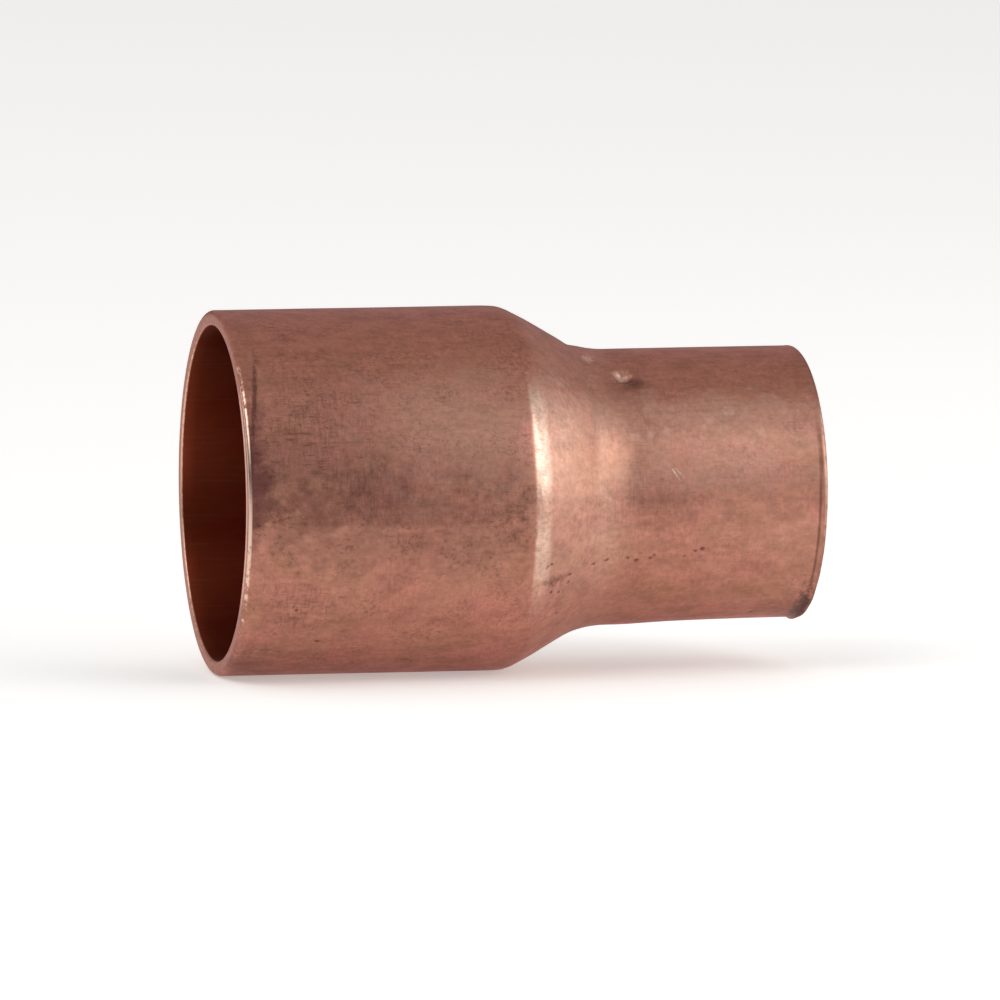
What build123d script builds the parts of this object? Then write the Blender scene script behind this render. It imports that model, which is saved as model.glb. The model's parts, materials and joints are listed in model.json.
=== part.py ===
from build123d import *

import os
from math import radians, sin, tan

# Concentric reducer: a wrought copper solder coupling that joins a 3/4 in copper tube to a
# 1/2 in one. It is one piece of drawn tube, reduced over a cone at one end. Each end is a
# cup that a tube slides into, with a capillary gap for solder all round. The large tube
# stops where the cone begins, and the small one at two stakes punched into the throat.
#
# Millimetres. The axis is +X, from the centre of the large mouth to the small mouth.

# Tubes that the cups take
large_tube_diameter = 22.225  # 3/4 in nominal copper water tube, outside
small_tube_diameter = 15.875  # 1/2 in nominal copper water tube, outside
solder_gap = 0.0525  # between tube and cup, on the radius

# Cups, measured inwards from their mouths
large_cup_depth = 19.05
small_cup_depth = 12.70
large_wall = 1.00
small_wall = 1.17  # thicker, because the tube was squeezed to a smaller diameter
rim_edge_radius = 0.20  # tumbled edges of both mouths, inside and outside

# Cone and throat
cone_angle = 29.5  # degrees, between the cone's side and the axis
shoulder_bend_radius = 1.00  # inside the wall, where the large cup turns into the cone
cone_foot_radius = 7.60  # outside the wall, where the cone turns into the small end
throat_entry_radius = 6.00  # inside the wall, where the cone turns into the throat
throat_length = 1.95  # from the cone's inner foot to the small cup's root
cup_root_step = 0.19  # how far the throat stands in from the small cup, on the radius

# Stakes that stop the small tube
stake_count = 2
stake_angle = 124.0  # degrees, of the first stake, from +Y towards +Z
stake_punch_radius = 0.50
stake_depth = 0.30  # of the dent outside
stake_height = 0.30  # of the bump inside

# Radii that follow from the tubes
large_cup_radius = large_tube_diameter / 2 + solder_gap
small_cup_radius = small_tube_diameter / 2 + solder_gap
large_outer_radius = large_cup_radius + large_wall
small_outer_radius = small_cup_radius + small_wall
throat_radius = small_cup_radius - cup_root_step

# Stations along the axis. A bend of radius r that turns by the cone angle begins
# r * half_turn before the corner that it rounds.
cone_slope = tan(radians(cone_angle))
half_turn = tan(radians(cone_angle / 2))
cone_start_inside = large_cup_depth + shoulder_bend_radius * half_turn
cone_start_outside = cone_start_inside + large_wall * half_turn
cone_end_inside = cone_start_inside + (large_cup_radius - throat_radius) / cone_slope
cone_end_outside = cone_start_outside + (large_outer_radius - small_outer_radius) / cone_slope
small_cup_root = cone_end_inside + throat_length
overall_length = small_cup_root + small_cup_depth
stake_station = small_cup_root - stake_punch_radius

# Both bends at the cone's foot end where the wall they round has no more room, less a
# twentieth: outside on the cone's side, next to the shoulder's bend, and inside on the throat
cone_side = (large_outer_radius - small_outer_radius) / sin(radians(cone_angle))
foot_room = cone_side - (shoulder_bend_radius + large_wall) * half_turn
foot_bend = min(cone_foot_radius, 0.95 * foot_room / half_turn)
throat_room = throat_length - cup_root_step
throat_bend = min(throat_entry_radius, 0.95 * throat_room / half_turn)

# The wall, as half of its lengthwise section, turned round the axis
with BuildPart() as reducer_body:
    with BuildSketch(Plane.XY):
        with BuildLine():
            outside = FilletPolyline(
                (0, large_outer_radius),
                (cone_start_outside, large_outer_radius),
                (cone_end_outside, small_outer_radius),
                (overall_length, small_outer_radius),
                radius=[shoulder_bend_radius + large_wall, foot_bend],
            )
            waterway = FilletPolyline(
                (0, large_cup_radius),
                (cone_start_inside, large_cup_radius),
                (cone_end_inside, throat_radius),
                (small_cup_root - cup_root_step, throat_radius),
                radius=[shoulder_bend_radius, throat_bend],
            )
            small_cup = Polyline(
                waterway @ 1,
                (small_cup_root, small_cup_radius),
                (overall_length, small_cup_radius),
            )
            Line(outside @ 0, waterway @ 0)
            Line(outside @ 1, small_cup @ 1)
        make_face()
    revolve(axis=Axis.X)

    # Tumbled rims
    circles = reducer_body.edges().filter_by(GeomType.CIRCLE).group_by(Axis.X)
    fillet(circles[0] + circles[-1], radius=rim_edge_radius)

    # Tube stops: each stake raises a bump in the throat and leaves a dent outside
    bump_centre_radius = throat_radius - stake_height + stake_punch_radius
    dent_centre_radius = small_outer_radius - stake_depth + stake_punch_radius
    with Locations(Plane.YZ.offset(stake_station)):
        with PolarLocations(bump_centre_radius, stake_count, start_angle=stake_angle):
            Sphere(stake_punch_radius)
        with PolarLocations(dent_centre_radius, stake_count, start_angle=stake_angle):
            Sphere(stake_punch_radius, mode=Mode.SUBTRACT)

reducer_body.part.label = "reducer_body"

os.makedirs("parts", exist_ok=True)
export_step(reducer_body.part, "parts/reducer_body.step")
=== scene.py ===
import json
import math

import bpy
import numpy as np
from bpy.props import FloatProperty, FloatVectorProperty, IntProperty, PointerProperty
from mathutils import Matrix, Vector


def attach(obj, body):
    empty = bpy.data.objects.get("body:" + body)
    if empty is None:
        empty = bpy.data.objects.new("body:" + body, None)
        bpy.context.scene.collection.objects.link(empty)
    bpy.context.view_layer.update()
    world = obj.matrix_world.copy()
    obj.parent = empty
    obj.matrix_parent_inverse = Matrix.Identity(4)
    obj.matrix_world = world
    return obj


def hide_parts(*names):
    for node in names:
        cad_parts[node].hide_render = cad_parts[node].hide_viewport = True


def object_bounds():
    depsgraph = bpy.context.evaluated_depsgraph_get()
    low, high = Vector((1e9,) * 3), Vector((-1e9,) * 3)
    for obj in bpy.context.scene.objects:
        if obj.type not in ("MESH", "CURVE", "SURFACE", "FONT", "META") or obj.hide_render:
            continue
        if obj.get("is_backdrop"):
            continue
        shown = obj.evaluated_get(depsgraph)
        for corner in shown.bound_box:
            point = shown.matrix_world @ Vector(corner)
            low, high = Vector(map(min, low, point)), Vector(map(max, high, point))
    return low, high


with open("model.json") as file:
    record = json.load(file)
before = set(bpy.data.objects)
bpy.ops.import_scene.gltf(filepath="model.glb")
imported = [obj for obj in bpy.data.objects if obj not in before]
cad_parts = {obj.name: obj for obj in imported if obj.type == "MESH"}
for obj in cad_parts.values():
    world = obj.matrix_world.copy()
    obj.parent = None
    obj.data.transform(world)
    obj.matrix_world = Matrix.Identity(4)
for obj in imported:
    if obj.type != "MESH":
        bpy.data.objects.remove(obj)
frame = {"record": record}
cad_low, cad_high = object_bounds()

bl_info = {
    "name": "Copper Reducer",
    "version": (1, 0, 0),
    "blender": (4, 5, 0),
    "location": "3D View > Sidebar > Reducer",
    "description": "Builds a wrought copper concentric reducer and the studio it lies in",
    "category": "Object",
}

MM = 0.001
DEGREE = math.pi / 180.0

MOUNTS = {mount["name"]: mount["dims"] for mount in frame["record"]["mounts"]}
LARGE_CUP = MOUNTS["large_socket"]
SMALL_CUP = MOUNTS["small_socket"]


def linear(colour):
    """An sRGB hex colour as the linear values that shaders and lamps work in."""
    srgb = np.array([int(colour[i:i + 2], 16) for i in (0, 2, 4)]) / 255.0
    return tuple(np.where(srgb <= 0.04045, srgb / 12.92, ((srgb + 0.055) / 1.055) ** 2.4))


# --- Values that a user would change ---


class ReducerSizes(bpy.types.PropertyGroup):
    """Sizes of the reducer's wall. Cup radii, cup depths, the length and the large outer
    radius come from the CAD frame."""

    small_wall: FloatProperty(
        name="Small wall", description="Wall of the small cup",
        default=1.17 * MM, unit="LENGTH")
    rim_edge: FloatProperty(
        name="Rim edge", description="Radius of the tumbled outer edges of both mouths",
        default=0.32 * MM, unit="LENGTH")
    rim_inner_edge: FloatProperty(
        name="Rim inner edge", description="Radius of the inner edges of both mouths",
        default=0.14 * MM, unit="LENGTH")
    cone_angle: FloatProperty(
        name="Cone angle", description="Between the cone's side and the axis",
        default=29.5 * DEGREE, unit="ROTATION")
    shoulder_bend: FloatProperty(
        name="Shoulder bend", description="Radius inside the wall where the cone begins",
        default=1.00 * MM, unit="LENGTH")
    cone_foot: FloatProperty(
        name="Cone foot", description="Radius outside the wall where the cone ends",
        default=7.60 * MM, unit="LENGTH")
    throat_entry: FloatProperty(
        name="Throat entry", description="Radius inside the wall where the cone ends",
        default=6.00 * MM, unit="LENGTH")
    root_step: FloatProperty(
        name="Root step", description="How far the throat stands in from the small cup",
        default=0.19 * MM, unit="LENGTH")
    root_edge: FloatProperty(
        name="Root edge", description="Rounding of the step at the small cup's root",
        default=0.08 * MM, unit="LENGTH")


class ReducerMarks(bpy.types.PropertyGroup):
    """Marks that making and handling left in the wall."""

    stake_angle: FloatProperty(
        name="Stake angle", description="Of the first stake, from +Y towards +Z",
        default=124.0 * DEGREE, unit="ROTATION")
    stake_radius: FloatProperty(
        name="Stake radius", description="Of the mark that the punch leaves",
        default=0.50 * MM, unit="LENGTH")
    stake_depth: FloatProperty(
        name="Stake depth", description="Of the dent outside and the bump inside",
        default=0.28 * MM, unit="LENGTH")
    lip_width: FloatProperty(
        name="Lip width", description="Of the lip that the cut-off tool rolled at the small mouth",
        default=0.40 * MM, unit="LENGTH")
    lip_height: FloatProperty(
        name="Lip height", description="Of that lip where it stands furthest out",
        default=0.17 * MM, unit="LENGTH")
    shoulder_swell: FloatProperty(
        name="Shoulder swell", description="How far the large cup swells towards the shoulder",
        default=0.05 * MM, unit="LENGTH")
    shoulder_ease: FloatProperty(
        name="Shoulder ease", description="How far the skin falls away before the shoulder",
        default=0.07 * MM, unit="LENGTH")
    foot_dip: FloatProperty(
        name="Foot dip", description="Depth of the kink where the cone's foot begins, on top",
        default=0.10 * MM, unit="LENGTH")
    throat_sag: FloatProperty(
        name="Throat sag", description="How much fuller the throat is below than above",
        default=0.16 * MM, unit="LENGTH")
    mouth_rise: FloatProperty(
        name="Mouth rise", description="How far the small mouth stands above the axis",
        default=0.07 * MM, unit="LENGTH")
    ripple: FloatProperty(
        name="Ripple", description="Height of the slow waves that the die left in the wall",
        default=0.010 * MM, unit="LENGTH")
    columns: IntProperty(
        name="Columns", description="Faces round the wall", default=340, min=24)


class CopperColours(bpy.types.PropertyGroup):
    """Colours of the reducer's copper."""

    browned: FloatVectorProperty(
        name="Browned", description="Copper with a few months of brown oxide",
        default=linear("B27E6B"), subtype="COLOR")
    rosy: FloatVectorProperty(
        name="Rosy", description="Copper with a thinner, pinker oxide",
        default=linear("B67C6C"), subtype="COLOR")
    # Also laid over the cone's foot as painted shade that dims the key lamp's highlight there
    olive: FloatVectorProperty(
        name="Olive", description="Copper with a thicker, olive-brown oxide",
        default=linear("9E7158"), subtype="COLOR")
    ruddy: FloatVectorProperty(
        name="Ruddy", description="Copper with the redder oxide of the top",
        default=linear("A86E5C"), subtype="COLOR")
    grazing: FloatVectorProperty(
        name="Grazing", description="Tint of the shine on copper seen edge on",
        default=linear("EED6DA"), subtype="COLOR")
    # Copper rubbed bright, and also the colour of the painted highlights on the shoulder, cone,
    # throat, stake and rims
    burnish_and_highlight: FloatVectorProperty(
        name="Burnished", description="Copper that the die has rubbed bright",
        default=linear("EAC9B4"), subtype="COLOR")
    stained: FloatVectorProperty(
        name="Stained", description="Purple-brown stain beside the large mouth",
        default=linear("703C42"), subtype="COLOR")
    # Drawing soap and dust, and also the colour of painted shade in the bands, round the stake and
    # in the lip's groove
    smudge_and_shade: FloatVectorProperty(
        name="Smudged", description="Grey-brown smudge of drawing soap and dust",
        default=linear("6C473D"), subtype="COLOR")
    # Dirt behind the lip, darkened as painted shade under its overhang
    grime_and_shade: FloatVectorProperty(
        name="Grimy", description="Dirt caught behind the lip of the small mouth",
        default=linear("52423A"), subtype="COLOR")
    # Bare rim copper, and also the colour of the painted light on the upper near side of both cups
    # and of the painted highlight on the rims' near side
    cut: FloatVectorProperty(
        name="Cut", description="Bare copper of the sawn and tumbled rims",
        default=linear("E8B8A4"), subtype="COLOR")
    bore: FloatVectorProperty(
        name="Bore", description="Copper inside the cups",
        default=linear("AA5034"), subtype="COLOR")
    bore_brown: FloatVectorProperty(
        name="Bore brown", description="Browner clouds inside the cups",
        default=linear("8C432A"), subtype="COLOR")


class StudioLight(bpy.types.PropertyGroup):
    """The lamps and the paper that the reducer lies on."""

    paper: FloatVectorProperty(
        name="Paper", description="Colour of the floor", default=linear("F4F3F1"), subtype="COLOR")
    glow: FloatProperty(
        name="Glow", description="How much of its own light the backlit paper gives", default=0.38)
    key: FloatProperty(
        name="Key", description="Brightness of the softbox near the small end", default=2.35)
    side: FloatProperty(
        name="Side", description="Brightness of the long softbox at the right", default=1.8)
    left: FloatProperty(
        name="Left", description="Brightness of the softbox at the left", default=1.95)
    rim: FloatProperty(
        name="Rim", description="Brightness of the softbox that faces the large mouth's edge",
        default=1.2)
    ceiling: FloatProperty(
        name="Ceiling", description="Brightness of the wide light overhead", default=1.5)
    room: FloatProperty(
        name="Room", description="Brightness of the room", default=0.02)


# --- The shape of the wall ---


def spread(start, end, step, spots=()):
    """Values from start to end, about step apart, and closer round the spots.

    The density of values is 1 / step plus a bell curve for each (place, width, times)
    spot, and the values are where its running sum passes whole numbers."""
    fine = np.linspace(start, end, 2001)
    density = np.full(fine.shape, 1.0 / step)
    for place, width, times in spots:
        density += times / step * np.exp(-((fine - place) / width) ** 2)
    total = np.concatenate([[0.0], np.cumsum((density[1:] + density[:-1]) / 2 * np.diff(fine))])
    count = max(2, int(round(total[-1])) + 1)
    return np.interp(np.linspace(0.0, total[-1], count), total, fine)


def round_corner(before, corner, after, radius, count):
    """An arc of the given radius that touches both sides of a corner.

    It starts radius * tan(turn / 2) before the corner, and turns about a centre that
    lies at right angles to the first side. A turn to the left is positive."""
    into = (corner - before) / np.linalg.norm(corner - before)
    out = (after - corner) / np.linalg.norm(after - corner)
    turn = math.atan2(into[0] * out[1] - into[1] * out[0], into @ out)
    side = math.copysign(1.0, turn)
    start = corner - into * radius * math.tan(abs(turn) / 2)
    centre = start + side * radius * np.array([-into[1], into[0]])
    angle = np.linspace(0.0, turn, count)
    arm = start - centre
    return np.stack([
        centre[0] + arm[0] * np.cos(angle) - arm[1] * np.sin(angle),
        centre[1] + arm[0] * np.sin(angle) + arm[1] * np.cos(angle),
    ], axis=1)


OUTSIDE, RIM, INSIDE = range(3)


def wall_section(sizes, marks):
    """The closed lengthwise section of the wall, as (x, radius) rows and each row's part.

    A ring of corners, each rounded by an arc, joined by straight runs: along the outside
    to the small mouth, over its rim, back through the bore, and over the large rim. The
    outer edges of the rims count as outside, because they are browned like it."""
    length = cad_high.x - cad_low.x
    large_outer = (cad_high.z - cad_low.z) / 2
    large_inner = LARGE_CUP["r_mm"] * MM
    small_inner = SMALL_CUP["r_mm"] * MM
    small_outer = small_inner + sizes.small_wall
    throat = small_inner - sizes.root_step
    large_wall = large_outer - large_inner
    slope = math.tan(sizes.cone_angle)
    half_turn = math.tan(sizes.cone_angle / 2)
    cone_start = LARGE_CUP["length_mm"] * MM + sizes.shoulder_bend * half_turn
    cone_start_out = cone_start + large_wall * half_turn
    cone_end = cone_start + (large_inner - throat) / slope
    cone_end_out = cone_start_out + (large_outer - small_outer) / slope
    root = length - SMALL_CUP["length_mm"] * MM
    stake = root - marks.stake_radius

    coarse, bore_step = 0.50 * MM, 0.90 * MM
    stake_spot = (stake, 0.7 * MM, 4.0)
    lip_spot = (length, 0.9 * MM, 7.0)
    step_spot = (root, 0.4 * MM, 3.0)
    edge, inner_edge = sizes.rim_edge, sizes.rim_inner_edge
    mouth_spot = (0.0, 0.8 * MM, 3.0)
    corners = [  # place and radius, bend, rows in it, then the run after it
        ((0.0, large_outer), edge, 10, OUTSIDE, OUTSIDE, coarse, [mouth_spot]),
        ((cone_start_out, large_outer), sizes.shoulder_bend + large_wall, 16, OUTSIDE,
         OUTSIDE, 0.30 * MM, []),
        ((cone_end_out, small_outer), sizes.cone_foot, 34, OUTSIDE, OUTSIDE, coarse,
         [stake_spot, lip_spot]),
        ((length, small_outer), edge, 10, OUTSIDE, RIM, 0.10 * MM, []),
        ((length, small_inner), inner_edge, 7, RIM, INSIDE, bore_step, []),
        ((root, small_inner), sizes.root_edge, 4, INSIDE, INSIDE, 0.2 * MM, []),
        ((root - sizes.root_step, throat), sizes.root_edge, 4, INSIDE, INSIDE, 0.4 * MM,
         [stake_spot]),
        ((cone_end, throat), sizes.throat_entry, 12, INSIDE, INSIDE, 0.6 * MM, []),
        ((cone_start, large_inner), sizes.shoulder_bend, 8, INSIDE, INSIDE, bore_step, []),
        ((0.0, large_inner), inner_edge, 7, RIM, RIM, 0.10 * MM, []),
    ]
    places = [np.array(corner[0]) for corner in corners]
    arcs = [round_corner(places[i - 1], place, places[(i + 1) % len(places)], *corners[i][1:3])
            for i, place in enumerate(places)]
    points, parts = [], []
    for i, (_, _, rows, part, run_part, step, spots) in enumerate(corners):
        start, end = arcs[i][-1], arcs[(i + 1) % len(arcs)][0]
        points.append(arcs[i])
        parts.append(np.full(rows, part))
        run = np.linalg.norm(end - start)
        along = [(abs(spot[0] - start[0]), *spot[1:]) for spot in spots]
        share = spread(0.0, run, step, along)[1:-1, None] / run
        points.append(start + (end - start) * share)
        parts.append(np.full(len(share), run_part))
    return np.concatenate(points), np.concatenate(parts)


def bell(value, middle, width):
    """A smooth hump, 1 at the middle and 0.37 a width away from it."""
    return np.exp(-((value - middle) / width) ** 2)


def smooth_step(value, start, end):
    """0 before start, 1 after end, and a smooth S between them."""
    share = np.clip((value - start) / (end - start), 0.0, 1.0)
    return share * share * (3.0 - 2.0 * share)


def angle_from(theta, middle):
    """How far round from a place each angle is, from -pi to pi."""
    return np.angle(np.exp(1j * (theta - middle)))


def slow_waves(along, theta, seed, count):
    """A sum of cosines of random direction and phase over the wall, from -1 to 1.

    Each wave has a whole number of crests round the wall, so that it closes."""
    rng = np.random.default_rng(seed)
    crests = rng.integers(0, 7, count)
    wavelength = rng.uniform(5.0 * MM, 24.0 * MM, count)
    phase = rng.uniform(0.0, 2 * math.pi, count)
    weight = rng.uniform(0.4, 1.0, count)
    total = np.zeros(np.broadcast(along, theta).shape)
    for k in range(count):
        total += weight[k] * np.cos(crests[k] * theta + 2 * math.pi * along / wavelength[k]
                                    + phase[k])
    return total / weight.sum()


class WallSurface:
    """The wall as a grid: one row for each point of the section, one column for each
    angle, and both close on themselves. An angle is measured from +Y towards +Z."""

    def __init__(self, sizes, marks):
        section, self.part = wall_section(sizes, marks)
        before, after = np.roll(section, 1, axis=0), np.roll(section, -1, axis=0)
        tangent = after - before
        tangent /= np.linalg.norm(tangent, axis=1, keepdims=True)
        self.section = section
        self.normal = np.stack([-tangent[:, 1], tangent[:, 0]], axis=1)
        self.stakes = (marks.stake_angle, marks.stake_angle + math.pi)
        seam = -math.pi / 4
        spots = [((stake - seam) % (2 * math.pi), 0.07, 2.5) for stake in self.stakes]
        step = 2 * math.pi / marks.columns
        self.theta = seam + spread(0.0, 2 * math.pi, step, spots)[:-1]
        self.x = section[:, :1]
        self.radius = section[:, 1:]
        self.length = cad_high.x - cad_low.x
        self.root = self.length - SMALL_CUP["length_mm"] * MM
        self.stake_x = self.root - marks.stake_radius
        self.foot = self.root - 3.061 * MM
        self.shoulder = LARGE_CUP["length_mm"] * MM + 0.6 * MM

    def on(self, part):
        """1 on the rows of one part, 0 elsewhere, as a column."""
        return (self.part == part)[:, None].astype(float)

    def stake_marks(self, marks):
        """How far each stake pushes the wall in.

        A round dent that falls off as exp(-(distance / radius) ^ 3), steeper towards the
        cone than towards the mouth because the punch leant, and a faint ridge of metal
        raised round it."""
        total = np.zeros((len(self.x), len(self.theta)))
        along = self.x - self.stake_x
        along = np.where(along > 0, along * 0.65, along * 1.1)
        for stake in self.stakes:
            across = angle_from(self.theta, stake)[None, :] * self.radius
            distance = np.hypot(along, across) / marks.stake_radius
            total += marks.stake_depth * np.exp(-distance ** 3)
            total -= 0.12 * marks.stake_depth * bell(distance, 1.55, 0.35)
        return total * (self.x < self.root + MM) * (self.x > self.root - 3 * MM)

    def rolled_lip(self, marks):
        """The lip at the small mouth, as height over the skin.

        It stands up over the last lip width behind a shallow groove, most at the
        bottom of the mouth on the near side, and hardly at all on top."""
        from_mouth = self.length - self.x
        lowest = -100.0 * DEGREE
        share = 0.10 + 0.90 * bell(angle_from(self.theta, lowest), 0.0, 0.85)
        share = share * (1 + 0.15 * np.cos(9 * self.theta) + 0.10 * np.cos(23 * self.theta))
        lip = smooth_step(marks.lip_width - from_mouth, -0.10 * MM, 0.12 * MM)
        groove = bell(from_mouth, marks.lip_width + 0.13 * MM, 0.08 * MM)
        return (marks.lip_height * lip - 0.02 * MM * groove) * share[None, :]

    def points(self, marks):
        """Every point of the wall.

        The section's point moves by swell - ease - dip + sag + waves, along its own normal
        outside and straight out from the axis inside. The lip adds to that outside, and
        the stakes push straight in. Then it turns about the X axis, and rises towards the
        small mouth."""
        x, theta = self.x, self.theta[None, :]
        inside = self.on(INSIDE)
        outside = 1.0 - inside
        swell = marks.shoulder_swell * smooth_step(x, 0.0, self.shoulder)
        swell = swell * smooth_step(-x, -self.shoulder - 5 * MM, -self.shoulder)
        swell = swell - marks.shoulder_ease * bell(x, self.shoulder + 0.2 * MM, 0.8 * MM)
        above, below = 0.5 + 0.5 * np.sin(theta), (0.5 - 0.5 * np.sin(theta)) ** 2
        dip = marks.foot_dip * above * bell(x, self.foot, 0.5 * MM)
        sag = marks.throat_sag * below * bell(x, self.root - 0.21 * MM, 3.0 * MM)
        from_mouth = self.length - x
        small_swell = smooth_step(x, self.foot - 0.15 * MM, self.foot + 3.85 * MM)
        small_swell = 0.03 * MM * small_swell * smooth_step(from_mouth, 1.91 * MM, 10.91 * MM)
        waves = slow_waves(x, theta, seed=7, count=9) * marks.ripple
        away_from_mouths = smooth_step(x, 0.0, MM) * smooth_step(from_mouth, 0.0, MM)
        shift = (swell + waves + sag - dip + small_swell) * (0.3 + 0.7 * away_from_mouths)
        lip = self.rolled_lip(marks) * outside * np.clip(self.normal[:, 1:], 0.0, 1.0)
        move = shift * outside + lip
        radius = self.radius + move * self.normal[:, 1:] + shift * inside
        radius = radius - self.stake_marks(marks)
        rise = marks.mouth_rise * smooth_step(x, self.root - 1.21 * MM, self.length)
        return np.stack([
            x + move * self.normal[:, :1],
            radius * np.cos(theta),
            radius * np.sin(theta) + rise,
        ], axis=-1)


def grid_faces(rows, columns):
    """Four corners for each face of a grid that closes both ways. They run round the wall
    first and along it second, which turns the faces outwards."""
    row, column = np.meshgrid(np.arange(rows), np.arange(columns), indexing="ij")
    next_row, next_column = (row + 1) % rows, (column + 1) % columns
    return np.stack([
        row * columns + column,
        row * columns + next_column,
        next_row * columns + next_column,
        next_row * columns + column,
    ], axis=-1).reshape(-1, 4)


def wall_mesh(name, surface, marks):
    """Makes the mesh of the wall, with its faces outwards and smooth."""
    places = surface.points(marks)
    rows, columns = places.shape[:2]
    faces = grid_faces(rows, columns)
    mesh = bpy.data.meshes.new(name)
    mesh.vertices.add(rows * columns)
    mesh.vertices.foreach_set("co", places.astype(np.float32).ravel())
    mesh.loops.add(faces.size)
    mesh.loops.foreach_set("vertex_index", faces.astype(np.int32).ravel())
    mesh.polygons.add(len(faces))
    mesh.polygons.foreach_set("loop_start", np.arange(0, faces.size, 4, dtype=np.int32))
    mesh.polygons.foreach_set("use_smooth", np.ones(len(faces), bool))
    mesh.polygons.foreach_set("material_index", face_materials(surface, columns))
    mesh.update()
    mesh.validate()
    lay_out(mesh, surface)
    return mesh


def face_materials(surface, columns):
    """Which material each face wears: skin outside, cut metal on the rims, bore inside.

    A face between a rim's row and another row wears the other row's material."""
    after = np.roll(surface.part, -1)
    slot = np.where(surface.part == RIM, after, surface.part)
    return np.repeat(slot, columns).astype(np.int32)


def lay_out(mesh, surface):
    """Lays the wall out flat on its own map: round the wall sideways, along the section
    upwards, with more of the map for the outside than for the bore."""
    rows, columns = len(surface.x), len(surface.theta)
    step = np.linalg.norm(np.roll(surface.section, -1, axis=0) - surface.section, axis=1)
    step = step * np.where(surface.part == INSIDE, 0.55, 1.0)
    up = np.concatenate([[0.0], np.cumsum(step)]) / step.sum()
    turn = np.concatenate([surface.theta, [surface.theta[0] + 2 * math.pi]])
    side = (turn - turn[0]) / (2 * math.pi)
    corners = np.empty((rows, columns, 4, 2), np.float32)
    corners[..., 0, 0] = corners[..., 3, 0] = side[None, :-1]
    corners[..., 1, 0] = corners[..., 2, 0] = side[None, 1:]
    corners[..., 0, 1] = corners[..., 1, 1] = up[:-1, None]
    corners[..., 2, 1] = corners[..., 3, 1] = up[1:, None]
    layer = mesh.uv_layers.new(name="OFBake")
    layer.uv.foreach_set("vector", corners.ravel())


def write_mask(mesh, name, values):
    """Stores a number for each vertex, for the materials."""
    attribute = mesh.attributes.new(name, "FLOAT", "POINT")
    attribute.data.foreach_set("value", values.astype(np.float32).ravel())


def finish_masks(mesh, surface):
    """Where the die rubbed the skin, and where the rims are worn to bare metal. The shoulder band
    and the bare inner edges also stand where the lamps glint, as painted highlights.
    """
    x = surface.x
    shape = (len(x), len(surface.theta))
    turn = np.clip(-angle_from(surface.theta, math.pi), -0.5, 0.5)[None, :]
    # The band leans round the wall to follow the lamp's highlight on the shoulder: painted
    # highlight as well as rub
    bend = surface.shoulder + (0.20 - 0.06 * turn) * MM
    shoulder = smooth_step(x - bend, -0.70 * MM, -0.45 * MM)
    shoulder = shoulder * smooth_step(bend - x, -0.75 * MM, -0.25 * MM)
    cone = smooth_step(x, surface.shoulder, surface.shoulder + MM)
    cone = cone * smooth_step(-x, -surface.shoulder - 7.5 * MM, -surface.shoulder - 4.5 * MM)
    along = np.abs(surface.normal[:, :1])
    edge = smooth_step(along, 0.15, 0.45) * smooth_step(-along, -1.0, -0.85)
    edge = edge * np.where(x < MM, 1.0, 0.35 * (x > surface.length - MM))
    # The inner edges are bare most on the near and far sides, where the lamps glint on them:
    # painted highlight as well as wear
    sideways = np.cos(surface.theta)[None, :] ** 2
    flat = 0.22 * smooth_step(along, 0.9, 1.0)
    flat = flat + 0.60 * (surface.normal[:, 1:] < -0.3) * (0.1 + 0.9 * sideways)
    bare = np.where(surface.on(RIM) > 0, flat + 0.4 * edge, edge)
    for name, values in (("shoulder_rub_and_highlight", shoulder), ("cone_rub", cone), ("bare_edge_and_highlight", bare)):
        write_mask(mesh, name, np.broadcast_to(values, shape))


# --- Materials ---


# Nodes used often, with their settings
TIMES = {"kind": "ShaderNodeMath", "operation": "MULTIPLY"}
PLUS = {"kind": "ShaderNodeMath", "operation": "ADD"}
LARGEST = {"kind": "ShaderNodeMath", "operation": "MAXIMUM"}
RANGE = {"kind": "ShaderNodeMapRange", "interpolation_type": "SMOOTHSTEP"}
COVER = {"kind": "ShaderNodeMix", "data_type": "RGBA"}

# Stations on the wall, in mm along the axis from the large mouth
SHOULDER = LARGE_CUP["length_mm"]
SMALL_MOUTH = (cad_high.x - cad_low.x) / MM
ROOT = SMALL_MOUTH - SMALL_CUP["length_mm"]
WHOLE_LENGTH = 1.5 * SMALL_MOUTH  # half length of a patch past both mouths


def add(tree, *values, kind, inputs=None, **settings):
    """Adds a node with its settings, and returns its first output in use.

    Its inputs in use take the values in order, and the others by name. A value is a
    number, a colour or another node's output."""
    node = tree.nodes.new(kind)
    for name, value in settings.items():
        setattr(node, name, value)
    used = [socket for socket in node.inputs if socket.enabled]
    named = [(node.inputs[name], value) for name, value in (inputs or {}).items()]
    for socket, value in (*zip(used, values), *named):
        if isinstance(value, bpy.types.NodeSocket):
            tree.links.new(value, socket)
        elif socket.type == "RGBA":
            socket.default_value = (*value, 1.0)
        else:
            socket.default_value = value
    return next((socket for socket in node.outputs if socket.enabled), None)


def chain(tree, values, **node):
    """Makes one value of several, by a chain of the same node."""
    total = values[0]
    for value in values[1:]:
        total = add(tree, total, value, **node)
    return total


def per_mm(along, across):
    """Scale of a pattern whose marks are so long, in mm, along the axis and across it."""
    return (1 / (along * MM), 1 / (across * MM), 1 / (across * MM))


def new_material(name):
    """An empty material, as (material, its tree)."""
    material = bpy.data.materials.new(name)
    material.use_nodes = True
    material.node_tree.nodes.clear()
    return material, material.node_tree


def give_surface(tree, inputs):
    """Ends a material with a surface shader that has the given inputs."""
    shader = add(tree, kind="ShaderNodeBsdfPrincipled", inputs=inputs)
    add(tree, shader, kind="ShaderNodeOutputMaterial")


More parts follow.
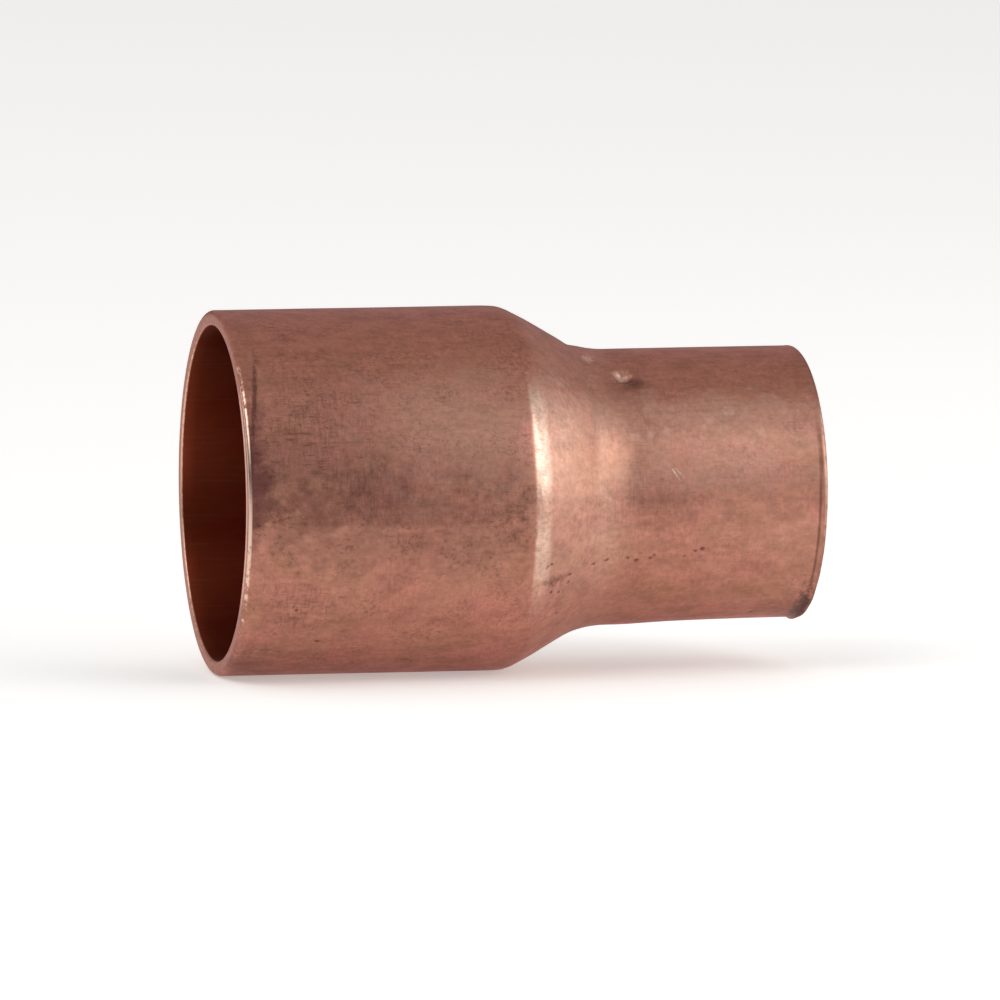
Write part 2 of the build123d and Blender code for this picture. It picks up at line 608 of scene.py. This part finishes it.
class Wall:
    """Places on the wall, and the noises and patches that its finishes are made of.

    A turn is in degrees: 0 on the near side, 90 on top and -90 below."""

    def __init__(self, tree):
        self.tree = tree
        self.place = add(tree, kind="ShaderNodeTexCoord").node.outputs["Object"]
        axes = add(tree, self.place, kind="ShaderNodeSeparateXYZ").node.outputs
        near = add(tree, axes["Y"], -1.0, **TIMES)
        turn = add(tree, axes["Z"], near, kind="ShaderNodeMath", operation="ARCTAN2")
        self.station = add(tree, axes["X"], 1 / MM, **TIMES)
        self.turn = add(tree, turn, 1 / DEGREE, **TIMES)

    def noise(self, along, across, seed, detail=3.0, rough=0.6):
        """Cloudy noise, 0 to 1, whose clouds have a real size in mm along and across."""
        mapped = add(self.tree, self.place, kind="ShaderNodeMapping", inputs={
            "Location": (seed, seed * 0.7, -seed * 1.3), "Scale": per_mm(along, across)})
        return add(self.tree, mapped, kind="ShaderNodeTexNoise", inputs={
            "Scale": 1.0, "Detail": detail, "Roughness": rough})

    def cells(self, scale, randomness):
        """Cells of a real size, as their outputs: the distance from the middle and so on."""
        mapped = add(self.tree, self.place, kind="ShaderNodeMapping", inputs={"Scale": scale})
        return add(self.tree, mapped, kind="ShaderNodeTexVoronoi", inputs={
            "Scale": 1.0, "Randomness": randomness}).node.outputs

    def patch(self, station, turn, half_length, half_turn, ragged=None, soft=0.35, lean=0.0):
        """A rounded patch of the wall, 1 inside and 0 outside, about a station and a turn.

        A ragged noise makes its edge uneven, and a lean of so many mm per degree slants
        it."""
        tree = self.tree
        round_it = add(tree, self.turn, -turn, **PLUS)
        along = add(tree, self.station, -station, **PLUS)
        if lean:
            along = add(tree, along, add(tree, round_it, -lean, **TIMES), **PLUS)
        along = add(tree, along, 1 / half_length, **TIMES)
        round_it = add(tree, round_it, 1 / half_turn, **TIMES)
        squares = [add(tree, way, way, **TIMES) for way in (along, round_it)]
        far = add(tree, *squares, **PLUS)
        far = add(tree, far, kind="ShaderNodeMath", operation="SQRT")
        if ragged is not None:
            uneven = add(tree, ragged, 0.25, 0.75, -0.6, 0.6, **RANGE)
            far = add(tree, far, uneven, **PLUS)
        return add(tree, far, 1.0 - soft, 1.0 + soft, 1.0, 0.0, **RANGE)

    def stretch(self, turn, half_turn, soft=0.35):
        """A patch that runs the whole length of the wall."""
        return self.patch(SMALL_MOUTH / 2, turn, WHOLE_LENGTH, half_turn, None, soft)


class Skin(Wall):
    """The browned skin outside. Its parts cover each other in this order: oxide, the die's rub
    with painted highlights, dirt and scratches with painted shade, thin oxide with painted light,
    and bare metal with painted highlights and a painted glint."""

    def __init__(self, tree, colours):
        super().__init__(tree)
        self.colours = colours
        self.patches = self.noise(5.0, 3.5, 1.0, 3.0, 0.55)
        self.thick = self.noise(3.2, 2.2, 5.0, 4.0, 0.62)
        self.clouds = self.noise(1.7, 1.2, 7.0, 4.0, 0.62)
        self.mottle = self.noise(0.42, 0.34, 9.0, 4.0, 0.65)
        self.dash = self.noise(1.0, 0.15, 13.0)
        self.chatter = self.noise(0.17, 0.60, 15.0)
        self.blot = self.noise(0.9, 0.8, 25.0, 4.0, 0.65)
        self.spots = self.noise(0.30, 0.40, 27.0, 3.0, 0.65)
        cone = add(tree, kind="ShaderNodeAttribute", attribute_name="cone_rub")
        self.on_cone = cone.node.outputs["Fac"]
        self.off_cone = add(tree, self.on_cone, 0.0, 0.6, 1.0, 0.0, **RANGE)

    def cover(self, hue, layers):
        """Covers a hue with layers, each a share, where it lies and its colour."""
        for share, where, colour in layers:
            hue = add(self.tree, add(self.tree, where, share, **TIMES), hue, colour, **COVER)
        return hue

    def oxide(self):
        """Clouds of thinner and thicker oxide, several mm long, and a ruddier top."""
        tree, colours = self.tree, self.colours
        pink = add(tree, self.patches, 0.40, 0.62, **RANGE)
        thick = add(tree, self.thick, 0.46, 0.70, 0.0, 0.38, **RANGE)
        hue = add(tree, pink, colours.browned, colours.rosy, **COVER)
        hue = add(tree, thick, hue, colours.olive, **COVER)
        return self.cover(hue, [(0.75, self.stretch(68.0, 30.0, 0.5), colours.ruddy)])

    def speckles(self):
        """Specks of thick oxide, about 0.25 mm, that crowd together, most of them on the
        large cup."""
        tree = self.tree
        speckle = add(tree, self.noise(0.26, 0.22, 19.0, 2.0), 0.50, 0.66, **RANGE)
        crowd = add(tree, self.noise(2.6, 2.0, 21.0), 0.42, 0.62, **RANGE)
        on_large = add(tree, self.station, SHOULDER, SHOULDER + 2, 1.0, 0.45, **RANGE)
        return chain(tree, [speckle, crowd, on_large], **TIMES)

    def shade(self, speckled):
        """How dark the skin is, as a factor: clouds, mottling about 0.35 mm wide, specks,
        faint lengthwise streaks from drawing, about 0.3 mm wide and off the cone, and short
        marks round the wall, about 0.15 mm apart, where the punch chattered."""
        tree = self.tree
        shades = [add(tree, self.clouds, 0.30, 0.70, 0.89, 1.10, **RANGE),
                  add(tree, self.mottle, 0.28, 0.72, 0.89, 1.11, **RANGE)]
        streak = add(tree, self.noise(3.5, 0.28, 11.0), 0.30, 0.62, -0.08, 0.02, **RANGE)
        streaky = add(tree, self.thick, 0.40, 0.60, 0.25, 1.0, **RANGE)
        streaky = add(tree, streaky, self.off_cone, **TIMES)
        chatter = add(tree, self.chatter, 0.32, 0.60, -0.10, 0.03, **RANGE)
        chattered = add(tree, self.patches, 0.45, 0.60, 0.25, 1.0, **RANGE)
        for where, change in ((speckled, -0.26), (streaky, streak), (chattered, chatter)):
            shades.append(add(tree, 1.0, add(tree, where, change, **TIMES), **PLUS))
        return chain(tree, shades, **TIMES)

    def soap_dashes(self):
        """Dark dashes of drawing soap, about 1 mm long, most of them above."""
        tree = self.tree
        dashes = add(tree, self.dash, 0.58, 0.70, **RANGE)
        where = add(tree, self.noise(4.0, 2.6, 17.0, 2.0, 0.5), 0.40, 0.58, **RANGE)
        above = add(tree, self.turn, -20.0, 20.0, 0.35, 1.0, **RANGE)
        return chain(tree, [dashes, where, self.off_cone, above], **TIMES)

    def pits(self):
        """Pits, about 0.2 mm wide, in rows low on the cone and the throat, rare elsewhere."""
        tree = self.tree
        cells = self.cells(per_mm(0.60, 0.50), 1.0)
        uneven = add(tree, add(tree, self.mottle, -0.5, **PLUS), 0.5, **TIMES)
        size = add(tree, cells["Distance"], uneven, **PLUS)
        chosen = add(tree, cells["Color"], kind="ShaderNodeSeparateColor")
        crowded = chain(tree, [
            self.patch(SHOULDER + 2.15, -20.5, 1.6, 2.6),
            self.patch(SHOULDER + 2.55, -31.0, 1.6, 4.0),
            add(tree, self.patch(ROOT + 1.6, -26.0, 5.0, 2.8), 0.9, **TIMES),
            add(tree, self.patch(ROOT + 4.8, -23.0, 3.2, 2.4), 0.9, **TIMES),
        ], **LARGEST)
        rare = add(tree, crowded, 0.0, 1.0, 0.996, 0.30, **RANGE)
        kept = add(tree, chosen, rare, kind="ShaderNodeMath", operation="GREATER_THAN")
        return add(tree, add(tree, size, 0.12, 0.36, 1.0, 0.0, **RANGE), kept, **TIMES)

    def shoulder_rub_and_highlight(self, near, far):
        """Where the die rubbed the shoulder bright, in fine lines: a little on the near side, more
        on the far side, and hardest a little above and below the near side, where it is also a
        painted highlight of the key lamp.
        """
        tree = self.tree
        shoulder = add(tree, kind="ShaderNodeAttribute", attribute_name="shoulder_rub_and_highlight")
        # Hardest above and below the near side, where the key lamp's highlight falls: painted
        # highlight
        pressed_and_lit = chain(tree, [
            add(tree, near, 0.42, **TIMES),
            add(tree, far, 0.7, **TIMES),
            self.stretch(19.0, 18.0),
            add(tree, self.stretch(-16.0, 12.0, 0.6), 0.80, **TIMES),
        ], **LARGEST)
        lines = self.noise(2.0, 0.13, 23.0, 2.0)
        lines = add(tree, lines, 0.34, 0.48, 0.70, 1.0, **RANGE)
        return chain(tree, [shoulder.node.outputs["Fac"], pressed_and_lit, 0.82, lines], **TIMES)

    def rubbed(self, hue):
        """Covers the hue where the die rubbed, on two sides: faintly all over the cone, on the
        ridge at its foot, in the lines that turn round the throat, and hardest on the shoulder and
        just beside it. All of these lie where the lamps' highlights fall, so they are painted
        highlights as well as rub. Gives the new hue and the shoulder's share."""
        tree, burnish_and_highlight = self.tree, self.colours.burnish_and_highlight
        near, far = self.stretch(1.0, 37.0), self.stretch(150.0, 20.0, 0.45)
        sides = add(tree, add(tree, near, far, **LARGEST), 0.0, 1.0, 0.10, 0.15, **RANGE)
        rub = self.shoulder_rub_and_highlight(near, far)
        turned = add(tree, self.noise(0.16, 2.5, 33.0, 2.0), 0.38, 0.62, **RANGE)
        throat = self.patch(ROOT - 1.6, 6.0, 1.9, 26.0, self.blot, 0.5)
        throat = add(tree, throat, turned, **TIMES)
        return self.cover(hue, [
            # Rub and painted highlight: the cone faintly, the ridge and the throat where the key
            # lamp glints, the shoulder, and a patch that widens its highlight onto the cone
            (1.0, add(tree, self.on_cone, sides, **TIMES), burnish_and_highlight),
            (0.16, self.patch(ROOT - 2.66, 17.0, 0.42, 17.0, self.spots, 0.5), burnish_and_highlight),
            (0.10, throat, burnish_and_highlight),
            (1.0, rub, burnish_and_highlight),
            (0.22, self.patch(SHOULDER + 2.55, 24.0, 1.3, 17.0, self.blot, 0.7), burnish_and_highlight),
        ]), rub

    def scuffs(self):
        """Fine marks on the large cup: scuffs that cross each other in three places, and a
        patch of scratches."""
        tree = self.tree
        hatch = self.noise(0.14, 0.9, 31.0)
        crossed = [add(tree, noise, 0.50, 0.62, **RANGE) for noise in (hatch, self.dash)]
        scuffed = chain(tree, [
            self.patch(5.0, 27.0, 3.2, 14.0, self.blot, 0.7),
            self.patch(3.8, -33.0, 2.4, 9.0, self.blot, 0.7),
            add(tree, self.patch(SHOULDER - 2.05, -2.0, 3.0, 8.0, self.blot, 0.7), 0.7, **TIMES),
        ], **LARGEST)
        scratched = [self.patch(8.5, 3.5, 2.2, 9.5, self.spots, 0.5),
                     add(tree, self.turn, -7.5, -5.5, **RANGE),
                     add(tree, hatch, 0.42, 0.58, 0.45, 1.0, **RANGE)]
        return (add(tree, scuffed, add(tree, *crossed, **LARGEST), **TIMES),
                chain(tree, scratched, **TIMES))

    def dark_bands_painted(self):
        """Two dark bands of painted shade along the large cup, just below the middle of the near
        side, one with a straight lower edge.
        """
        tree, blot = self.tree, self.blot
        on_cup = add(tree, self.station, SHOULDER - 0.45, SHOULDER + 0.35, 1.0, 0.1, **RANGE)
        edge = add(tree, self.turn, add(tree, blot, 1.5, **TIMES), **PLUS)
        edge = add(tree, edge, -7.0, -4.5, **RANGE)
        band = self.patch(9.5, -4.0, 10.5, 11.0, blot, 0.5)
        low_band = self.patch(9.5, -11.0, 12.0, 10.0, blot, 0.9)
        return chain(tree, [band, edge, on_cup], **TIMES), add(tree, low_band, on_cup, **TIMES)

    def dirt_and_painted_shade(self, hue, smudge):
        """Covers the hue with dirt and scratches that have their own places, and with painted
        shade: dark bands along both cups, round the stake and in its dent, over the cone's
        highlight, in the lip's groove and under the lip.
        """
        patch, blot, spots, colours = self.patch, self.blot, self.spots, self.colours
        smudge_and_shade = colours.smudge_and_shade
        scuffed, scratched = self.scuffs()
        band, low_band = self.dark_bands_painted()
        beside_mouth = patch(0.2, 8.0, 1.05, 20.0, self.clouds, 0.8)
        stain_line = patch(0.86, 36.0, 0.15, 14.0, spots, 0.7, 0.028)
        rim_dirt = patch(0.9, -64.0, 1.5, 9.0, blot, 0.6)
        # Painted shade: a faint dark band along the small cup, like those on the large cup
        small_band = patch(ROOT + 4.8, -5.0, 9.0, 5.0, blot, 0.6)
        # Painted shade: olive laid over the cone's foot above the near side to dim the key lamp's
        # highlight
        cone_highlight_shade = patch(ROOT - 3.0, 15.0, 3.0, 11.0, blot, 0.6)
        cone_smear = patch(SHOULDER + 1.95, -28.0, 0.9, 1.6, spots, 0.7)
        # Dirt and painted shade low near the small mouth, under the lip where it stands out
        # furthest
        lip_smut_and_shade = patch(SMALL_MOUTH - 1.11, -68.0, 1.4, 10.0, blot, 0.8)
        small_smudge = patch(ROOT + 1.4, -2.5, 2.2, 4.0, blot, 0.7)
        # Painted shade round the stake and on the slope of its dent that faces away from the key
        # lamp
        stake_shade = patch(ROOT, 50.0, 1.5, 9.0, blot, 0.7)
        stake_dent_shade = patch(ROOT + 0.14, 52.5, 0.65, 3.6, None, 0.6)
        # Dirt and painted shade behind the lip, below
        lip_dirt_and_shade = patch(SMALL_MOUTH - 0.61, -64.0, 0.5, 16.0, spots, 0.7)
        lip_edge = add(self.tree, self.station, SMALL_MOUTH - 0.36, SMALL_MOUTH - 0.11, **RANGE)
        # Painted shade in the groove behind the lip, on the near side and below
        lip_groove_shade = patch(SMALL_MOUTH - 0.55, -14.0, 0.09, 42.0, None, 0.7)
        return self.cover(hue, [
            (0.70, beside_mouth, colours.stained),
            (0.85, stain_line, smudge_and_shade),
            (0.45, rim_dirt, smudge_and_shade),
            (0.38, scuffed, smudge_and_shade),
            # Painted shade: the dark bands along both cups
            (0.34, band, smudge_and_shade),
            (0.38, low_band, smudge_and_shade),
            (0.10, small_band, smudge_and_shade),
            (0.42, cone_highlight_shade, colours.olive),
            (0.55, cone_smear, smudge_and_shade),
            (0.35, lip_smut_and_shade, smudge_and_shade),
            (0.24, smudge, smudge_and_shade),
            (0.34, small_smudge, smudge_and_shade),
            (0.42, scratched, colours.stained),
            (0.28, stake_shade, smudge_and_shade),
            (0.70, stake_dent_shade, smudge_and_shade),
            (0.90, lip_dirt_and_shade, colours.grime_and_shade),
            (0.42, lip_edge, smudge_and_shade),
            (0.70, lip_groove_shade, smudge_and_shade),
            (0.45, self.soap_dashes(), smudge_and_shade),
        ])

    def thin_oxide_and_painted_light(self, hue):
        """Covers the hue where the oxide is thin: pale rounds, about 1 mm, on the small cup. It
        also lightens wide faint stretches of both cups above the near side: painted light where
        the key lamp falls."""
        tree, patch, clouds = self.tree, self.patch, self.clouds
        rounds = self.cells(per_mm(1.25, 1.25), 0.8)["Distance"]
        rounds = add(tree, rounds, 0.22, 0.42, 1.0, 0.0, **RANGE)
        near_mouth = patch(SMALL_MOUTH - 5.4, 36.0, 3.6, 9.0, self.blot, 0.6)
        near_root = patch(ROOT + 0.6, 30.0, 1.6, 7.0, self.blot, 0.6)
        rounds = add(tree, rounds, add(tree, near_mouth, near_root, **LARGEST), **TIMES)
        # Painted light: the upper near side of both cups made paler where the key lamp falls
        thin = add(tree, patch(14.5, 25.0, 6.0, 20.0, clouds, 0.6),
                   patch(ROOT + 5.8, 27.0, 8.0, 15.0, clouds, 0.5), **LARGEST)
        thinner = add(tree, patch(ROOT + 5.8, 38.0, 8.0, 7.0, clouds, 0.6),
                      patch(ROOT + 5.8, 8.0, 8.0, 6.0, clouds, 0.6), **LARGEST)
        return self.cover(hue, [(0.24, rounds, self.colours.burnish_and_highlight),
                                (0.20, thin, self.colours.cut),
                                (0.16, thinner, self.colours.cut)])

    def bare_metal_and_highlights(self):
        """Bright bare metal and painted highlights: the edge of the large mouth on the near side,
        worn and painted with the lamps' highlight; beside the stake, where the punch rubbed and
        the dent catches the key lamp as a painted highlight; a painted glint on a small knock in
        the cone; and two short scratches."""
        tree, spots = self.tree, self.spots
        edge = add(tree, kind="ShaderNodeAttribute", attribute_name="bare_edge_and_highlight")
        # Painted highlight: the bare edge only on the near side, where the lamps glint on the
        # large mouth
        near = self.patch(0.0, 4.0, WHOLE_LENGTH, 31.0, spots, 0.25)
        # Painted highlight on the stake's dent where it faces the key lamp, over the punch's rub
        stake_rub_highlight = self.patch(ROOT - 0.56, 56.5, 0.48, 3.4, spots, 0.6)
        # Painted glint of a small knock in the cone
        dent_glint = self.patch(ROOT - 2.41, 69.0, 0.35, 3.0, spots, 0.5)
        return chain(tree, [
            chain(tree, [edge.node.outputs["Fac"], near, 0.9], **TIMES),
            add(tree, stake_rub_highlight, 0.50, **TIMES),
            add(tree, dent_glint, 0.40, **TIMES),
            self.patch(ROOT + 2.24, 9.0, 0.07, 2.3, None, 0.5, -0.10),
            self.patch(ROOT + 2.54, 9.5, 0.03, 2.0, None, 0.5, -0.16),
        ], **LARGEST)

    def grain(self, speckled, pits, rub):
        """Height of the skin: drawing lines, about 0.15 mm apart and many mm long, deepest
        where the shoulder shows them up, over the grain of the oxide."""
        tree = self.tree
        deep = add(tree, 0.15, add(tree, rub, 0.7, **TIMES), **PLUS)
        heights = ((self.noise(7.0, 0.16, 29.0), deep), (self.mottle, 0.55),
                   (speckled, -0.35), (self.chatter, 0.15), (pits, -0.8))
        return chain(tree, [add(tree, *height, **TIMES) for height in heights], **PLUS)


def browned_copper(colours):
    """Wrought copper, drawn, formed in a die, and browned in air: a satin metal whose brown oxide
    hides most of its shine, mottled and speckled, and rubbed bright where the die pressed hardest.
    Its colour also holds painted highlights, a painted glint, painted shade and painted light
    where the lamps fall on the shoulder, cone, stake, lip and cups."""
    material, tree = new_material("browned_copper")
    skin = Skin(tree, colours)
    speckled, pits, bright = skin.speckles(), skin.pits(), skin.bare_metal_and_highlights()
    smudge = skin.patch(4.2, 0.5, 2.2, 6.0, skin.blot, 0.6)
    hue, rub = skin.rubbed(skin.oxide())
    hue = skin.cover(skin.dirt_and_painted_shade(hue, smudge), [(0.80, pits, colours.smudge_and_shade)])
    shade = skin.shade(speckled)
    grey = add(tree, shade, shade, shade, kind="ShaderNodeCombineColor")
    hue = add(tree, 1.0, skin.thin_oxide_and_painted_light(hue), grey, **COVER, blend_type="MULTIPLY")
    gloss = chain(tree, [
        add(tree, skin.clouds, 0.3, 0.7, 0.45, 0.39, **RANGE),
        add(tree, add(tree, rub, bright, **LARGEST), -0.15, **TIMES),
        add(tree, smudge, 0.08, **TIMES),
    ], **PLUS)
    give_surface(tree, {
        "Base Color": add(tree, bright, hue, colours.burnish_and_highlight, **COVER),
        "Roughness": gloss,
        "Metallic": 1.0,
        "Specular Tint": colours.grazing,
        "Normal": add(tree, kind="ShaderNodeBump", inputs={
            "Strength": 0.7, "Distance": 0.012 * MM, "Height": skin.grain(speckled, pits, rub)}),
    })
    return material


def cut_copper(colours):
    """Copper sawn square and tumbled: browned since, with fine marks of the saw, and worn to
    bright bare metal along the edge of the bore and on the near side. The bright metal on the near
    side and on the inner edges is also a painted highlight of the lamps."""
    material, tree = new_material("cut_copper")
    wall = Wall(tree)
    marks = wall.noise(0.25, 0.35, 3.0)
    edge = add(tree, kind="ShaderNodeAttribute", attribute_name="bare_edge_and_highlight")
    # Painted highlight: brighter bare metal on the near side of both rims
    near = wall.patch(0.0, 2.0, 20.0, 36.0, None, 0.3)
    bare = chain(tree, [edge.node.outputs["Fac"],
                        add(tree, marks, 0.3, 0.7, -0.25, 0.25, **RANGE),
                        add(tree, near, 0.7, **TIMES)], **PLUS)
    dark = add(tree, marks, 0.35, 0.65, **RANGE)
    hue = add(tree, dark, colours.browned, colours.olive, **COVER)
    bare = add(tree, bare, 0.35, 0.95, **RANGE)
    give_surface(tree, {
        "Base Color": add(tree, bare, hue, colours.cut, **COVER),
        "Roughness": add(tree, marks, 0.3, 0.7, 0.34, 0.44, **RANGE),
        "Metallic": 1.0,
        "Specular Tint": colours.grazing,
        "Normal": add(tree, kind="ShaderNodeBump", inputs={
            "Strength": 0.5, "Distance": 0.01 * MM, "Height": marks}),
    })
    return material


def bore_copper(colours):
    """Copper inside the cups, annealed and sized by a punch: a thin red oxide that deepens
    where the bore reflects itself, with rubbed lines along the axis."""
    material, tree = new_material("bore_copper")
    wall = Wall(tree)
    lines = wall.noise(7.0, 0.25, 41.0, 4.0)
    clouds = wall.noise(5.0, 2.5, 43.0, 3.0, 0.55)
    browner = add(tree, clouds, 0.35, 0.70, 0.0, 0.8, **RANGE)
    rubbed = add(tree, lines, 0.5, 0.8, 0.0, 0.25, **RANGE)
    hue = add(tree, browner, colours.bore, colours.bore_brown, **COVER)
    give_surface(tree, {
        "Base Color": add(tree, rubbed, hue, colours.rosy, **COVER),
        "Roughness": add(tree, clouds, 0.3, 0.7, 0.34, 0.44, **RANGE),
        "Metallic": 1.0,
        "Normal": add(tree, kind="ShaderNodeBump", inputs={
            "Strength": 0.5, "Distance": 0.012 * MM, "Height": lines}),
    })
    return material


def pale_paper(studio):
    """Matt white paper, lit from behind so that it gives a little light of its own."""
    material, tree = new_material("pale_paper")
    give_surface(tree, {
        "Base Color": studio.paper,
        "Roughness": 0.8,
        "Emission Color": studio.paper,
        "Emission Strength": studio.glow,
    })
    return material


# --- Operators ---


def add_object(name, data):
    made = bpy.data.objects.new(name, data)
    bpy.context.scene.collection.objects.link(made)
    return made


class REDUCER_OT_wall(bpy.types.Operator):
    """Build the copper wall of the reducer, which is the whole fitting"""

    bl_idname = "reducer.wall"
    bl_label = "Copper Wall"

    def execute(self, context):
        scene = context.scene
        surface = WallSurface(scene.reducer_sizes, scene.reducer_marks)
        mesh = wall_mesh("copper_wall", surface, scene.reducer_marks)
        finish_masks(mesh, surface)
        colours = scene.reducer_colours
        for material in (browned_copper(colours), cut_copper(colours), bore_copper(colours)):
            mesh.materials.append(material)
        wall = add_object("copper_wall", mesh)
        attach(wall, "root")
        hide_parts("reducer_body")
        return {"FINISHED"}


def direction(azimuth, elevation):
    """A unit vector: azimuth 0 is towards -Y, and positive azimuths go towards +X."""
    level = math.cos(elevation)
    return Vector((math.sin(azimuth) * level, -math.cos(azimuth) * level, math.sin(elevation)))


def add_softbox(name, centre, away, distance, width, height, brightness):
    """A soft rectangular lamp in one direction from the centre, which it faces. Its width
    and height are the angles in degrees that it fills, seen from there."""
    lamp = bpy.data.lights.new(name, "AREA")
    lamp.shape = "RECTANGLE"
    lamp.size = 2 * distance * math.tan(width * DEGREE / 2)
    lamp.size_y = 2 * distance * math.tan(height * DEGREE / 2)
    lamp.energy = brightness * lamp.size * lamp.size_y * math.pi
    made = add_object(name, lamp)
    made.location = centre + away * distance
    made.rotation_euler = away.to_track_quat("Z", "Y").to_euler()
    made.visible_camera = False


def add_ceiling(name, brightness, azimuth, elevation, width):
    """A very wide, even light overhead, like a lit ceiling. Its angles are in degrees."""
    lamp = bpy.data.lights.new(name, "SUN")
    lamp.angle = width * DEGREE
    lamp.energy = brightness
    made = add_object(name, lamp)
    away = direction(azimuth * DEGREE, elevation * DEGREE)
    made.rotation_euler = away.to_track_quat("Z", "Y").to_euler()


class REDUCER_OT_studio(bpy.types.Operator):
    """Build the floor, the lamps and the camera"""

    bl_idname = "reducer.studio"
    bl_label = "Studio"

    def execute(self, context):
        studio = context.scene.reducer_studio
        centre = Vector(((cad_low.x + cad_high.x) / 2, 0.0, 0.0))
        self.add_floor(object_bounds()[0].z, studio)
        for name, azimuth, elevation, distance, width, height, brightness in (
                ("key_softbox", 38.0, 25.0, 0.23, 33.0, 33.0, studio.key),
                ("side_softbox", 80.0, 14.0, 0.45, 60.0, 30.0, studio.side),
                ("left_softbox", -55.0, 42.0, 3.0, 40.0, 36.0, studio.left),
                ("rim_softbox", -128.0, 10.0, 3.0, 50.0, 20.0, studio.rim)):
            away = direction(azimuth * DEGREE, elevation * DEGREE)
            add_softbox(name, centre, away, distance, width, height, brightness)
        add_ceiling("ceiling", studio.ceiling, azimuth=175.0, elevation=72.0, width=124.0)
        self.add_room(context.scene, studio)
        self.add_camera(context.scene, centre)
        return {"FINISHED"}

    def add_floor(self, height, studio):
        """A wide sheet of pale paper that the reducer lies on."""
        reach = 6.0
        mesh = bpy.data.meshes.new("paper_floor")
        mesh.from_pydata([(-reach, -reach, height), (reach, -reach, height),
                          (reach, reach, height), (-reach, reach, height)], [], [(0, 1, 2, 3)])
        mesh.materials.append(pale_paper(studio))
        add_object("paper_floor", mesh)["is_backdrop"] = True

    def add_room(self, scene, studio):
        """An even room light, and a white view past the edge of the floor."""
        world = bpy.data.worlds.new("room")
        scene.world = world
        world.use_nodes = True
        tree = world.node_tree
        tree.nodes.clear()
        seen = add(tree, kind="ShaderNodeLightPath").node.outputs["Is Camera Ray"]
        strength = add(tree, seen, 0.0, 1.0, studio.room, 1.0, kind="ShaderNodeMapRange")
        light = add(tree, (1, 1, 1), strength, kind="ShaderNodeBackground")
        add(tree, light, kind="ShaderNodeOutputWorld")
        scene.view_settings.view_transform = "Standard"

    def add_camera(self, scene, centre):
        """A long lens, a little to the left of the reducer's side and a little above it."""
        azimuth, elevation, distance = -13.09 * DEGREE, 4.87 * DEGREE, 572.87 * MM
        left, down = 0.342 * MM, 0.835 * MM
        camera = bpy.data.cameras.new("camera")
        camera.lens = 307.97
        camera.sensor_width = 36.0
        made = add_object("camera", camera)
        back = direction(azimuth, elevation)
        turn = back.to_track_quat("Z", "Y")
        made.location = centre + back * distance + turn @ Vector((-left, -down, 0.0))
        made.rotation_euler = turn.to_euler()
        scene.camera = made


class REDUCER_PT_panel(bpy.types.Panel):
    """Lists the reducer's operators and values in the 3D view's sidebar"""

    bl_label = "Copper Reducer"
    bl_idname = "REDUCER_PT_panel"
    bl_space_type = "VIEW_3D"
    bl_region_type = "UI"
    bl_category = "Reducer"

    def draw(self, context):
        layout = self.layout
        for operator in OPERATORS:
            layout.operator(operator.bl_idname)
        for name in GROUPS:
            box = layout.box()
            group = getattr(context.scene, name)
            for key in group.__annotations__:
                box.prop(group, key)


OPERATORS = (REDUCER_OT_wall, REDUCER_OT_studio)
GROUPS = {
    "reducer_sizes": ReducerSizes,
    "reducer_marks": ReducerMarks,
    "reducer_colours": CopperColours,
    "reducer_studio": StudioLight,
}


def register():
    for made in (*GROUPS.values(), *OPERATORS, REDUCER_PT_panel):
        bpy.utils.register_class(made)
    for name, group in GROUPS.items():
        setattr(bpy.types.Scene, name, PointerProperty(type=group))


def unregister():
    for name in GROUPS:
        delattr(bpy.types.Scene, name)
    for made in reversed((*GROUPS.values(), *OPERATORS, REDUCER_PT_panel)):
        bpy.utils.unregister_class(made)


def main():
    """Builds the reducer and its studio."""
    register()
    bpy.ops.reducer.wall()
    bpy.ops.reducer.studio()


if __name__ == "__main__":
    main()
